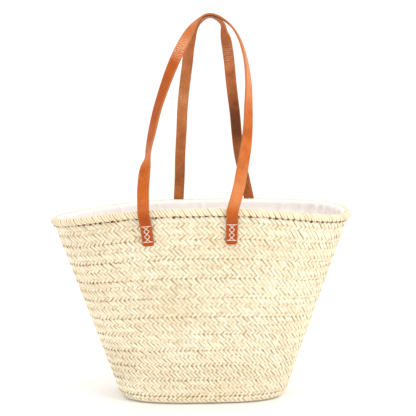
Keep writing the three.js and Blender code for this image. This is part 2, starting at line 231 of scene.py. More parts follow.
def on_wall(wall, distance, offset):
    """Points at a distance up the plait from the ground, and off its middle by offset."""
    distance = np.broadcast_to(distance, wall["arc"].shape)
    offset = np.broadcast_to(offset, wall["arc"].shape)[..., None]
    angle = distance / CORNER_RADIUS
    curl = with_height(wall["out"] * np.sin(angle)[..., None], -np.cos(angle))
    low = wall["centre"] + curl * (CORNER_RADIUS + offset)
    rise = ((distance - wall["arc"]) / (wall["length"] - wall["arc"]))[..., None]
    high = wall["tangent"] + (wall["rim"] - wall["tangent"]) * rise + wall["normal"] * offset
    return np.where((distance < wall["arc"])[..., None], low, high)


def base_point(bearing, inset, height):
    """The flat oval inside the first turn, drawn in by inset."""
    plan = {
        "half_length": wall_at([0.0])["centre"][0, 0] - inset,
        "half_width": wall_at([math.pi / 2])["centre"][0, 1] - inset,
        "squareness": FOOT["squareness"],
    }
    return with_height(plan_point(plan, bearing), height)


def travelled_along(points):
    """How far it is to each point of a line from its first."""
    return np.concatenate([[0], np.cumsum(np.linalg.norm(np.diff(points, axis=0), axis=1))])


def along_line(at, travelled, points):
    """Places on a line of points, at distances along it."""
    return np.stack([np.interp(at, travelled, column) for column in points.T], axis=1)


def round_table(line):
    """Even steps round a closed line: its length, and the bearing at each share of it."""
    bearing = np.linspace(0, 2 * math.pi, 2881)
    travelled = travelled_along(line(bearing))
    return travelled[-1], lambda share: (
        np.interp(np.mod(share, 1), travelled / travelled[-1], bearing)
        + 2 * math.pi * np.floor(share)
    )


# ---- working with shapes -----------------------------------------------------

def only(obj):
    """Nothing else is selected, so an operator acts on this piece alone."""
    if bpy.context.object and bpy.context.object.mode != "OBJECT":
        bpy.ops.object.mode_set(mode="OBJECT")
    bpy.ops.object.select_all(action="DESELECT")
    obj.select_set(True)
    bpy.context.view_layer.objects.active = obj


def begin(name):
    """The primitive just added, named and open in edit mode."""
    obj = bpy.context.object
    obj.name = name
    obj.data.name = name
    only(obj)
    bpy.ops.object.transform_apply(location=True, rotation=True, scale=True)
    bpy.ops.object.mode_set(mode="EDIT")
    return obj


def pick(obj, test, kind="VERT"):
    """Selects corners by their place, or faces by their middle and normal, in edit mode."""
    bpy.ops.mesh.select_mode(type=kind)
    bpy.ops.mesh.select_all(action="DESELECT")
    mesh = bmesh.from_edit_mesh(obj.data)
    if kind == "VERT":
        for vert in mesh.verts:
            vert.select_set(bool(test(vert.co)))
    else:
        for face in mesh.faces:
            face.select_set(bool(test(face.calc_center_median(), face.normal)))
    mesh.select_flush_mode()
    bmesh.update_edit_mesh(obj.data)


def cut(places, axis):
    """Cuts right across the open piece at each place along an axis."""
    for place in places:
        at = [0, 0, 0]
        at[axis] = place
        way = [0, 0, 0]
        way[axis] = 1
        bpy.ops.mesh.select_all(action="SELECT")
        bpy.ops.mesh.bisect(plane_co=at, plane_no=way)


def done(obj):
    bpy.ops.object.mode_set(mode="OBJECT")
    return obj


def modify(obj, kind, **settings):
    """Adds a modifier and applies it."""
    only(obj)
    made = obj.modifiers.new(kind.title(), kind)
    for key, value in settings.items():
        setattr(made, key, value)
    bpy.ops.object.modifier_apply(modifier=made.name)


def points_of(obj):
    out = np.zeros(len(obj.data.vertices) * 3)
    obj.data.vertices.foreach_get("co", out)
    return out.reshape(-1, 3)


def move_points(obj, points):
    obj.data.vertices.foreach_set("co", np.asarray(points, float).ravel())
    obj.data.update()


def note(obj, name, values):
    """Writes one number for each corner, for a material to read."""
    layer = obj.data.attributes.new(name, "FLOAT", "POINT")
    layer.data.foreach_set("value", np.asarray(values, float))


def flat_map(obj, flat):
    """Keeps the flat places, in metres, as the piece's own UV map."""
    loops = np.zeros(len(obj.data.loops), int)
    obj.data.loops.foreach_get("vertex_index", loops)
    layer = obj.data.uv_layers.new(name="flat")
    layer.data.foreach_set("uv", (np.asarray(flat)[loops] * MM).ravel())


def smooth(obj, angle=50):
    only(obj)
    bpy.ops.object.shade_smooth_by_angle(angle=math.radians(angle))


def close_up(obj):
    """Joins the two ends of a ring and turns every face outwards."""
    only(obj)
    bpy.ops.object.mode_set(mode="EDIT")
    bpy.ops.mesh.select_all(action="SELECT")
    bpy.ops.mesh.remove_doubles(threshold=0.00002)
    bpy.ops.mesh.normals_make_consistent(inside=False)
    bpy.ops.object.mode_set(mode="OBJECT")


def paint(obj, *materials):
    for material in materials:
        obj.data.materials.append(material)


def band(name, steps, rows, lay):
    """A band with a thickness, laid right round the basket. lay turns places from 0 to 1
    (round, up, outwards) into places in millimetres."""
    bpy.ops.mesh.primitive_grid_add(x_subdivisions=steps, y_subdivisions=rows, size=1)
    obj = done(begin(name))
    move_points(obj, points_of(obj) + [0.5, 0.5, 0])
    modify(obj, "SOLIDIFY", thickness=1.0, offset=1.0)
    only(obj)
    bpy.ops.object.mode_set(mode="EDIT")
    pick(obj, lambda place, way: abs(way.x) > 0.9, "FACE")
    bpy.ops.mesh.delete(type="FACE")
    done(obj)
    flat = points_of(obj)
    move_points(obj, lay(flat[:, 0], flat[:, 1], flat[:, 2]) * MM)
    return obj, flat


def gather(name, parts):
    """One mesh from many copies. Each part is (corners, faces, notes by name, flat places,
    material)."""
    corners = np.concatenate([part[0] for part in parts])
    faces = []
    kinds = []
    start = 0
    for part_corners, part_faces, _, _, kind in parts:
        faces += [[corner + start for corner in face] for face in part_faces]
        kinds += [kind] * len(part_faces)
        start += len(part_corners)
    mesh = bpy.data.meshes.new(name)
    mesh.from_pydata(corners.tolist(), [], faces)
    mesh.polygons.foreach_set("material_index", kinds)
    obj = bpy.data.objects.new(name, mesh)
    bpy.context.collection.objects.link(obj)
    for key in parts[0][2]:
        note(obj, key, np.concatenate([part[2][key] for part in parts]))
    flat_map(obj, np.concatenate([part[3] for part in parts]))
    return obj


def shape_of(obj):
    """A finished shape's corners and faces, to be copied many times. The shape is used up."""
    corners = points_of(obj)
    faces = [list(face.vertices) for face in obj.data.polygons]
    bpy.data.objects.remove(obj)
    return corners, faces


def repeated(faces, width, count):
    """The faces of many copies of a shape that has this many corners."""
    return [[corner + i * width for corner in face] for i in range(count) for face in faces]


def copies(shape, x, y, turn, stretch, lay, notes, apart=MAP_SPACING, kind=0):
    """Copies of one shape at flat places x, y, turned and stretched, then laid by
    lay(x, y, z). apart is how far from each other they are on the UV map."""
    corners, faces = shape
    count = len(x)
    width = len(corners)
    c = np.cos(turn)[:, None]
    s = np.sin(turn)[:, None]
    long, wide, high = (corners[:, k] * stretch[k][:, None] for k in range(3))
    flat_x = x[:, None] + long * c - wide * s
    flat_y = y[:, None] + long * s + wide * c
    laid = lay(flat_x.ravel(), flat_y.ravel(), high.ravel()) * MM
    reach = np.abs(corners).max(axis=0)
    values = {key: np.repeat(value, width) for key, value in notes.items()}
    values["along"] = np.tile(corners[:, 0] / reach[0], count)
    values["across"] = np.tile(corners[:, 1] / reach[1], count)
    flat = np.stack([(long + apart * np.arange(count)[:, None]).ravel(), wide.ravel()], axis=1)
    return laid, repeated(faces, width, count), values, flat, kind



# ---- materials ---------------------------------------------------------------

def linear(colour):
    """A hex colour as it looks on a screen, turned to the linear light that a shader works in."""
    out = []
    for place in (1, 3, 5):
        part = int(colour[place:place + 2], 16) / 255
        out.append(part / 12.92 if part <= 0.04045 else ((part + 0.055) / 1.055) ** 2.4)
    return (*out, 1.0)


# The output that is read from each kind of node.
OUTPUTS = {
    "Attribute": "Fac", "BsdfPrincipled": "BSDF", "Bump": "Normal", "MapRange": "Result",
    "Mapping": "Vector", "Math": 0, "Mix": 2, "TexCoord": "Object", "TexNoise": "Fac",
    "TexVoronoi": "Distance", "TexWave": "Fac", "UVMap": "UV", "VectorMath": "Vector",
}


def node(tree, kind, inputs=None, **settings):
    """One node with its settings, its values and its links. Gives the output to read."""
    made = tree.nodes.new("ShaderNode" + kind)
    for key, value in settings.items():
        setattr(made, key, value)
    for key, value in (inputs or {}).items():
        if isinstance(value, bpy.types.NodeSocket):
            tree.links.new(value, made.inputs[key])
        else:
            made.inputs[key].default_value = value
    return made.outputs[OUTPUTS[kind]] if kind in OUTPUTS else None


def mix(tree, share, low, high):
    """A colour between two others, each one a hex colour or an output."""
    low, high = (linear(end) if isinstance(end, str) else end for end in (low, high))
    return node(tree, "Mix", {0: share, 6: low, 7: high}, data_type="RGBA")


def ranged(tree, value, start, end, low=0.0, high=1.0):
    """Goes from low to high as value goes from start to end, and no further."""
    return node(tree, "MapRange", {
        "Value": value, "From Min": start, "From Max": end, "To Min": low, "To Max": high,
    })


def attributes(tree, *names):
    return [node(tree, "Attribute", attribute_name=name) for name in names]


def material(name):
    made = bpy.data.materials.new(name)
    made.use_nodes = True
    made.node_tree.nodes.clear()
    return made, made.node_tree


def surface(tree, looks):
    node(tree, "OutputMaterial", {"Surface": node(tree, "BsdfPrincipled", looks)})


def palm(name, dull, bright, warm, grey, edge, edge_shade_share, roughness):
    """Dried palm leaf, split into strips and left undyed: a dry satin skin with fine
    fibres along it, every strip a little different, browner at its sides and ends with painted shade, and
    stained in spots."""
    made, tree = material(name)
    place = node(tree, "TexCoord")
    flat = node(tree, "UVMap", uv_map="flat")
    tone, hue, along, across = attributes(tree, "tone", "hue", "along", "across")
    # Fibres are about 0.3 mm apart; they are drawn about 0.8 mm apart so that they show.
    grain = node(tree, "Mapping", {"Vector": flat, "Scale": (55, 1250, 1)})
    fibre = node(tree, "TexNoise", {"Vector": grain, "Scale": 1.0, "Detail": 2.0})
    patch = node(tree, "TexNoise", {"Vector": place, "Scale": 13.0, "Detail": 2.0})
    stain = node(tree, "TexNoise", {"Vector": place, "Scale": 140.0, "Detail": 3.0})
    leaf = mix(tree, tone, dull, bright)
    leaf = mix(tree, ranged(tree, hue, 0.55, 1.0, high=0.8), leaf, warm)
    leaf = mix(tree, ranged(tree, hue, 0.32, 0.0, high=0.75), leaf, grey)
    leaf = mix(tree, ranged(tree, patch, 0.5, 0.72, high=0.35), leaf, warm)
    lines = ranged(tree, fibre, 0.3, 0.75, 1.03, 0.9)
    leaf = node(tree, "VectorMath", {0: leaf, "Scale": lines}, operation="SCALE")
    # Painted shade: the edge colour along the long sides of each strip and at its ends, where it dips under
    # its neighbours, together with stains in small spots.
    side = node(tree, "Math", {0: across}, operation="ABSOLUTE")
    side = ranged(tree, side, 0.7, 1.0, high=edge_shade_share)
    end = node(tree, "Math", {0: along}, operation="ABSOLUTE")
    end = ranged(tree, end, 0.66, 0.98, high=0.85)
    shade_and_stain = node(tree, "Math", {0: side, 1: end}, operation="MAXIMUM")
    spots = ranged(tree, stain, 0.66, 0.78, high=0.35)
    shade_and_stain = node(tree, "Math", {0: shade_and_stain, 1: spots}, operation="MAXIMUM")
    surface(tree, {
        "Base Color": mix(tree, shade_and_stain, leaf, edge),
        "Roughness": ranged(tree, fibre, 0.0, 1.0, roughness - 0.08, roughness + 0.1),
        "Specular IOR Level": 0.35,
        "Normal": node(tree, "Bump", {"Height": fibre, "Strength": 0.35, "Distance": 0.0003}),
    })
    return made


def shaded_palm():
    """The layer of strips behind the ones that show: the same leaf seen in shade through
    the gaps, so it is brown and dull."""
    made, tree = material("shaded palm leaf")
    place = node(tree, "TexCoord")
    # Strips 5 mm wide cross behind the gaps.
    patch = node(tree, "TexNoise", {"Vector": place, "Scale": 180.0, "Detail": 2.0})
    surface(tree, {
        "Base Color": mix(tree, patch, "#8A6238", "#C49C68"),
        "Roughness": 0.85,
        "Specular IOR Level": 0.15,
        "Normal": node(tree, "Bump", {"Height": patch, "Strength": 0.4, "Distance": 0.0005}),
    })
    return made


def dark_gap():
    """The inside of the plait seen through a slot by a seam: palm leaf in deep shade."""
    made, tree = material("palm leaf in deep shade")
    place = node(tree, "TexCoord")
    patch = node(tree, "TexNoise", {"Vector": place, "Scale": 90.0})
    surface(tree, {
        "Base Color": mix(tree, patch, "#3C2410", "#7E5630"),
        "Roughness": 0.95,
        "Specular IOR Level": 0.05,
    })
    return made


def cotton():
    """Bleached plain-weave cotton: matt and soft, a touch warm, with fine threads both ways."""
    made, tree = material("bleached cotton")
    place = node(tree, "TexCoord")
    flat = node(tree, "UVMap", uv_map="flat")
    # Threads are about 0.4 mm apart; they are drawn 1.2 mm apart so that they show.
    thread = {"Vector": flat, "Scale": 262.0, "Distortion": 1.2, "Detail Scale": 4.0}
    warp, weft = (node(tree, "TexWave", thread, bands_direction=way) for way in "XY")
    weave = node(tree, "Math", {0: warp, 1: weft}, operation="ADD")
    slub = node(tree, "TexNoise", {"Vector": place, "Scale": 60.0, "Detail": 3.0})
    cloth = mix(tree, slub, "#F5EEE8", "#FEFBF8")
    threads = ranged(tree, weave, 0.0, 2.0, 0.96, 1.0)
    surface(tree, {
        "Base Color": node(tree, "VectorMath", {0: cloth, "Scale": threads}, operation="SCALE"),
        "Roughness": 0.9,
        "Specular IOR Level": 0.2,
        "Sheen Weight": 0.15,
        "Normal": node(tree, "Bump", {"Height": weave, "Strength": 0.25, "Distance": 0.0003}),
    })
    return made


def leather():
    """Vegetable-tanned cowhide: an orange-tan smooth face with a soft shine, a browner and
    duller flesh side, light raw edges, the wrinkles of use, painted highlights for the shine of its face
    and on its wrinkles, and darker stretches along it."""
    made, tree = material("vegetable tanned leather")
    place = node(tree, "TexCoord")
    flat = node(tree, "UVMap", uv_map="flat")
    face, rim, painted_sheen, dark, creased = attributes(tree, "face", "rim", "painted_sheen", "dark", "creased")
    # Patches of dye are 20 to 40 mm across, and mottled every few millimetres.
    cloud = node(tree, "TexNoise", {"Vector": place, "Scale": 42.0, "Detail": 5.0, "Roughness": 0.72})
    cloud = ranged(tree, cloud, 0.26, 0.74)
    # Pores are about 0.5 mm apart; they are drawn about 1.2 mm apart so that they show.
    pores = node(tree, "TexVoronoi", {"Vector": flat, "Scale": 850.0}, feature="F1")
    streak = node(tree, "Mapping", {"Vector": flat, "Scale": (45, 420, 1)})
    streak = node(tree, "TexNoise", {"Vector": streak, "Scale": 1.0, "Detail": 3.0})
    outer = mix(tree, cloud, "#A64808", "#D07028")
    inner = mix(tree, cloud, "#8C4620", "#C47844")
    skin = mix(tree, face, inner, outer)
    lines = ranged(tree, streak, 0.3, 0.7, 0.9, 1.06)
    skin = node(tree, "VectorMath", {0: skin, "Scale": lines}, operation="SCALE")
    # Painted highlight: pale stretches stand in for the shine of the smooth face.
    skin = mix(tree, painted_sheen, skin, "#EEA46C")
    # Darker stretches along the strap, and painted shade on the flesh side of the front crown.
    skin = mix(tree, dark, skin, mix(tree, face, "#481C08", "#A04000"))
    # Wrinkles run across the strap, about 3 mm apart, with a painted highlight along each.
    wrinkle = node(tree, "TexWave", {
        "Vector": flat, "Scale": 98.0, "Distortion": 5.0, "Detail Scale": 2.0,
    })
    wrinkle_sheen = ranged(tree, wrinkle, 0.5, 1.0, high=0.75)
    wrinkle_sheen = node(tree, "Math", {0: wrinkle_sheen, 1: creased}, operation="MULTIPLY")
    skin = mix(tree, wrinkle_sheen, skin, "#F6C4A4")
    height = node(tree, "Math", {0: pores, 1: streak}, operation="ADD")
    deep = node(tree, "Math", {0: wrinkle, 1: creased}, operation="MULTIPLY")
    height = node(tree, "Math", {0: deep, 1: 3.0, 2: height}, operation="MULTIPLY_ADD")
    surface(tree, {
        "Base Color": mix(tree, rim, skin, "#B8703E"),
        "Roughness": ranged(tree, face, 0.0, 1.0, 0.68, 0.4),
        "Specular IOR Level": 0.2,
        "Coat Weight": 0.02,
        "Coat Roughness": 0.3,
        "Normal": node(tree, "Bump", {"Height": height, "Strength": 0.3, "Distance": 0.0003}),
    })
    return made


def waxed_thread():
    """White waxed polyester thread, two plies twisted: bright, with a slight shine."""
    made, tree = material("waxed thread")
    flat = node(tree, "UVMap", uv_map="flat")
    # The twist shows as slanting lines about 1 mm apart.
    twist = node(tree, "TexWave", {"Vector": flat, "Scale": 600.0}, bands_direction="DIAGONAL")
    surface(tree, {
        "Base Color": mix(tree, twist, "#E4D6C2", "#FFFDF8"),
        "Roughness": 0.5,
        "Specular IOR Level": 0.4,
        "Normal": node(tree, "Bump", {"Height": twist, "Strength": 0.5, "Distance": 0.0003}),
    })
    return made


def studio_floor():
    """Matt white paper sweep: even, with a tooth too fine to see."""
    made, tree = material("matt white paper")
    place = node(tree, "TexCoord")
    tooth = node(tree, "TexNoise", {"Vector": place, "Scale": 300.0})
    surface(tree, {
        "Base Color": linear("#FDFCFB"),
        "Roughness": 0.95,
        "Specular IOR Level": 0.1,
        "Normal": node(tree, "Bump", {"Height": tooth, "Strength": 0.03, "Distance": 0.0005}),
    })
    return made


# In each, edge is the colour of the painted shade at the sides and ends of the strips, and of the stains.
PLAIT_LEAF = palm(
    "plaited palm leaf", dull="#D6BF95", bright="#FFF7DD", warm="#F3D9B4", grey="#D2C8AC",
    edge="#94693C", edge_shade_share=0.52, roughness=0.55,
)
BINDING_LEAF = palm(
    "wrapped palm leaf", dull="#DDC196", bright="#FBEFD2", warm="#F0D3AA", grey="#D8C6A2",
    edge="#9A7042", edge_shade_share=0.6, roughness=0.6,
)
SHADED = shaded_palm()
DARK_GAP = dark_gap()
COTTON = cotton()
LEATHER = leather()
THREAD = waxed_thread()


# ---- plaited palm leaf -------------------------------------------------------

# A strip's size, and how high it stands at each distance from its middle.
STRIP_LENGTH = 13.0
STRIP_WIDTH = 4.62
STRIP_LINE = ((1.9, 1.0), (4.7, 0.48), (STRIP_LENGTH / 2, -0.35))


def leaf_strip():
    """One visible stretch of a palm strip: it rises over two others and dips under at both
    ends, and its long edges fall away a little."""
    bpy.ops.mesh.primitive_cube_add(size=1, scale=(STRIP_LENGTH, STRIP_WIDTH, LEAF_THICK))
    strip = begin("strip")
    cut([side * reach for reach, _ in STRIP_LINE[:-1] for side in (-1, 1)], 0)
    cut((-1.3, 1.3), 1)
    for reach, rise in STRIP_LINE:
        pick(strip, lambda co, reach=reach: abs(abs(co.x) - reach) < 0.1)
        bpy.ops.transform.translate(value=(0, 0, rise - LEAF_THICK / 2))
    pick(strip, lambda co: abs(co.y) > 2)
    bpy.ops.transform.translate(value=(0, 0, -0.26))
    return shape_of(done(strip))


def slot_bead():
    """What shows in a slot of the plait, by a seam: a small bead, to be painted dark as the shade inside
    the slot.
    """
    bpy.ops.mesh.primitive_cube_add(size=1, scale=(3.4, 1.5, 0.9))
    bead = begin("bead")
    cut((-1.0, 1.0), 0)
    pick(bead, lambda co: abs(co.x) > 1.5)
    bpy.ops.transform.resize(value=(1, 0.35, 0.4))
    bpy.ops.mesh.select_all(action="SELECT")
    bpy.ops.mesh.bevel(offset=0.2, segments=1, affect="EDGES")
    return shape_of(done(bead))


STRIP = leaf_strip()
BEAD = slot_bead()


def leaf_notes(dice, count, slant, bearing, height):
    """How light and how warm each strip is: patches round the basket, and chance. The
    strips are greyer towards the foot and painted paler there, for the light thrown up from the floor, and
    strips of one lean are painted a little lighter, for the light falling more on them."""
    patch = np.sin(2.3 * bearing + 0.9) + np.sin(5.1 * bearing - height / 31)
    patch = patch + np.sin(height / 17 + 1.7 * bearing)
    low = np.clip(1 - height / 220, 0, 1)
    # Paler towards the foot and for one lean: painted light.
    tone = 0.62 + 0.05 * patch + 0.05 * slant + 0.2 * low + dice.normal(0, 0.11, count)
    cool = np.sin(3.1 * bearing + height / 43 + 2.0) * 0.10
    hue = 0.46 - cool - 0.03 * slant - 0.05 * low + dice.normal(0, 0.11, count)
    return {"tone": np.clip(tone, 0, 1), "hue": np.clip(hue, 0, 1)}


# Strips that lean one way show longer than those that lean the other way. Each way has its
# own turn in radians, share of the pitch, width and extra height.
TALL_ROW = 1.15
LEANS = {1: (-0.8, TALL_ROW, 1.0, 0.15), -1: (0.7, 2 - TALL_ROW, 0.92, 0.0)}
JITTER = 0.22  # how far strips lie off their even places


def plait_rows(dice, round_length, rows, pitch, lay, place):
    """Rows of strips for one closed band: leaning one way and the other in turn."""
    size = pitch / PITCH
    count = round(round_length / np.clip(pitch, *STRIP_SPACING))
    parts = []
    for row in range(rows):
        slant = 1 if row % 2 == 1 else -1
        lean, tall, broad, raised = LEANS[slant]
        share = (np.arange(count) + 0.5 * (row % 2)) / count
        x = share * round_length + dice.normal(0, JITTER, count)
        middle = row + 1 - TALL_ROW / 2
        y = np.full(count, middle * pitch) + dice.normal(0, JITTER, count)
        turn = lean + dice.normal(0, 0.05, count)
        long = size * tall * dice.normal(1.02, 0.03, count)
        wide = min(size, 1.06) * broad * dice.normal(1, 0.05, count)
        stretch = (long, wide, dice.normal(1, 0.12, count) + raised)
        bearing, height = place(x, y)
        notes = leaf_notes(dice, count, slant, bearing, height)
        parts.append(copies(STRIP, x, y, turn, stretch, lay, notes))
    return parts


def finish_palm(piece, back, leaf, slot, *nodes, angle=50):
    """Joins a piece to the shaded layer behind it, sets it on the basket, and hides the parts that it takes
    the place of.
    """
    close_up(back)
    paint(back, SHADED)
    paint(piece, leaf, DARK_GAP)
    smooth(piece, angle)
    smooth(back)
    only(piece)
    back.select_set(True)
    bpy.ops.object.join()
    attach(piece, "basket")
    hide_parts(*nodes)


def plait_turn(index):
    """One turn of plait: strips outside, and a shaded layer behind them with a thickness."""
    dice = np.random.default_rng(100 + index)
    low = TURN_ENDS[index - 1] if index else 0
    high = TURN_ENDS[index]
    length, bearing_at = round_table(lambda b: on_wall(wall_at(b), (low + high) / 2, WALL_HALF))
    step = 0.0 if index == 0 else SHINGLE
    seat = FOOT_SEAT if index == 0 else STRIP_SEAT

    def face_at(share):
        """The face of this turn off the middle of the plait. Its head is behind the next turn."""
        return WALL_HALF + step - (SHINGLE + step) * share

    def on_turn(bearing, share, off):
        """A place on this turn: share goes from its foot to its head, off is outwards."""
        wall = wall_at(bearing)
        scale = (wall["length"] - SKIRT) / TURN_ENDS[-1]
        return on_wall(wall, (low + (high - low) * share) * scale, face_at(share) + off)

    def lay(x, y, z):
        return on_turn(bearing_at(x / length), y / (high - low), z - seat)

    def place(x, y):
        return bearing_at(x / length), low + y

    rows = FOOT_ROWS if index == 0 else ROWS
    parts = plait_rows(dice, length, rows, (high - low) / rows, lay, place)
    if index > 0:
        # Slots along the seam below, most of them towards the two ends of the basket. Each is a bead
        # painted with the shade inside it.
        beads = round(length / SLOT_PITCH)
        x = (np.arange(beads) + dice.uniform(-0.18, 0.18, beads)) * length / beads
        bearing, _ = place(x, 0)
        left = np.clip(-np.cos(bearing), 0, 1) ** 1.5
        right = np.clip(np.cos(bearing), 0, 1) ** 2
        keep = dice.random(beads) < 0.22 + 0.6 * left + 0.3 * right
        x = x[keep]
        count = len(x)
        size = dice.uniform(0.55, 1.0, count)
        parts.append(copies(
            BEAD, x, dice.normal(-0.9, 0.4, count), dice.normal(-0.6, 0.2, count),
            (size, size * 0.75, size), lambda px, py, pz: lay(px, py, pz + 0.55),
            {"tone": dice.random(count), "hue": dice.random(count)}, kind=1,
        ))
    turn = gather(f"plait_{index + 1:02d}", parts)

    def lay_back(a, b, c):
        # It goes on past the head of the turn, so that no light comes through at the seam.
        last = index == len(TURN_ENDS) - 1
        share = b * (1.03 if last else 1.01)
        return on_turn(bearing_at(a), share, -BEHIND - (1 - c) * (face_at(b) + 0.7))

    back, _ = band("back", 144, 6 if index == 0 else 2, lay_back)
    finish_palm(turn, back, PLAIT_LEAF, "palm_plait", f"plait_turn_{index + 1:02d}")


def base_ring():
    """The turn of plait under the basket, between the middle and the first turn of the wall."""
    dice = np.random.default_rng(200)
    length, bearing_at = round_table(lambda b: base_point(b, BASE_TURN_WIDTH / 2, 0.0))

    def lay(x, y, z):
        return base_point(bearing_at(x / length), BASE_TURN_WIDTH - y, BASE_SEAT - z)

    def place(x, y):
        return bearing_at(x / length), y

    parts = plait_rows(dice, length, ROWS, BASE_TURN_WIDTH / ROWS, lay, place)
    turn = gather("base_plait_ring", parts)

    def lay_back(a, b, c):
        inset = SEAM + (BASE_TURN_WIDTH - SEAM) * (1 - b)
        foot, head = BASE_BACK
        return base_point(bearing_at(a), inset, head - (head - foot) * c)

    back, _ = band("back", 144, 1, lay_back)
    finish_palm(turn, back, PLAIT_LEAF, "palm_plait", "base_turn")


def base_middle():
    """The start of the plait: straight rows side by side in the middle of the base."""
    dice = np.random.default_rng(300)
    long = 2 * (wall_at([0.0])["centre"][0, 0] - BASE_TURN_WIDTH)
    wide = 2 * (wall_at([math.pi / 2])["centre"][0, 1] - BASE_TURN_WIDTH)
    count = round(long / PITCH)
    parts = []

    def lay(x, y, z):
        return np.stack([x, -y, BASE_SEAT - z], axis=1)

    rows = math.ceil(wide / PITCH)
    for row in range(rows):
        slant = 1 if row % 2 else -1
        y = (row + 0.5 - rows / 2) * PITCH
        x = (np.arange(count) + 0.5 * (row % 2) + 0.25 - count / 2) * PITCH
        inside = (np.abs(x) / (long / 2 - 1)) ** 3 + (abs(y) / (wide / 2 - 1)) ** 3 < 1
        x = x[inside] + dice.normal(0, 0.2, inside.sum())
        number = len(x)
        if number == 0:
            continue
        stretch = [dice.normal(1, spread, number) for spread in (0.03, 0.05, 0.12)]
        notes = leaf_notes(dice, number, slant, x / 60, np.full(number, y))
        turn = -slant * math.pi / 4 + dice.normal(0, 0.05, number)
        parts.append(copies(STRIP, x, np.full(number, y), turn, stretch, lay, notes))
    middle = gather("base_plait_middle", parts)
    bpy.ops.mesh.primitive_circle_add(vertices=96, radius=1, fill_type="NGON")
    plate = begin("plate")
    bpy.ops.mesh.select_all(action="SELECT")
    bpy.ops.mesh.extrude_region_move(TRANSFORM_OT_translate={"value": (0, 0, 1)})
    done(plate)
    flat = points_of(plate)
    bearing = np.arctan2(flat[:, 1], flat[:, 0])
    foot, head = BASE_BACK
    height = foot + (head - foot) * flat[:, 2]
    move_points(plate, base_point(bearing, BASE_TURN_WIDTH + SEAM, height) * MM)
    finish_palm(middle, plate, PLAIT_LEAF, "palm_plait", "base_strip")


for number in range(len(TURN_ENDS)):
    plait_turn(number)
base_ring()
base_middle()


# ---- the bound rim -----------------------------------------------------------

def rim_section():
    """The way a strip of the binding goes, as (out, up) from the middle of the rope: up the
    outside, over the rope and down the inside."""
    line = [(3.9, -SKIRT)]
    for degrees in (-28, 0, 30, 60, 90, 120, 150, 180, 208):
        angle = math.radians(degrees)
        line.append((RIM_RADIUS * math.cos(angle) - 0.15, RIM_RADIUS * math.sin(angle)))
    line.append((-4.5, -SKIRT))
    return np.array(line)


SECTION = rim_section()
SECTION_AT = travelled_along(SECTION)
SECTION_LENGTH = SECTION_AT[-1]
RIM_LENGTH, RIM_BEARING = round_table(lambda b: on_wall(wall_at(b), wall_at(b)["length"], 0.0))


def lay_on_rim(x, y, z):
    """x round the rim, y along the section from the outer hem, z away from it."""
    wall = wall_at(RIM_BEARING(x / RIM_LENGTH))
    step = 0.2
    place, ahead, behind = (along_line(at, SECTION_AT, SECTION) for at in (y, y + step, y - step))
    # Known fault: further than a step past a hem, the way is 0 / 0 and the place is lost.
    way = unit(ahead - behind)
    off = place[:, 0] + way[:, 1] * z
    up = place[:, 1] - way[:, 0] * z
    below = np.minimum(y, 0) - np.maximum(y - SECTION_LENGTH, 0)
    return on_wall(wall, wall["length"] + up + below, off)


def binding_strip():
    """One strip of the binding, as long as the way over the rim, narrower at its two hems."""
    bpy.ops.mesh.primitive_cube_add(
        size=1, location=(SECTION_LENGTH / 2, 0, 0), scale=(SECTION_LENGTH, WRAP_WIDTH, LEAF_THICK),
    )
    strip = begin("wrap")
    cut(np.linspace(0, SECTION_LENGTH, 15)[1:-1].tolist(), 0)
    cut((0.0,), 1)
    pick(strip, lambda co: abs(co.y) > 2)
    bpy.ops.transform.translate(value=(0, 0, -0.3))
    pick(strip, lambda co: co.x < 1 or co.x > SECTION_LENGTH - 1)
    bpy.ops.transform.resize(value=(1, HEM_NARROW, 1), center_override=(0, 0, 0))
    return shape_of(done(strip))


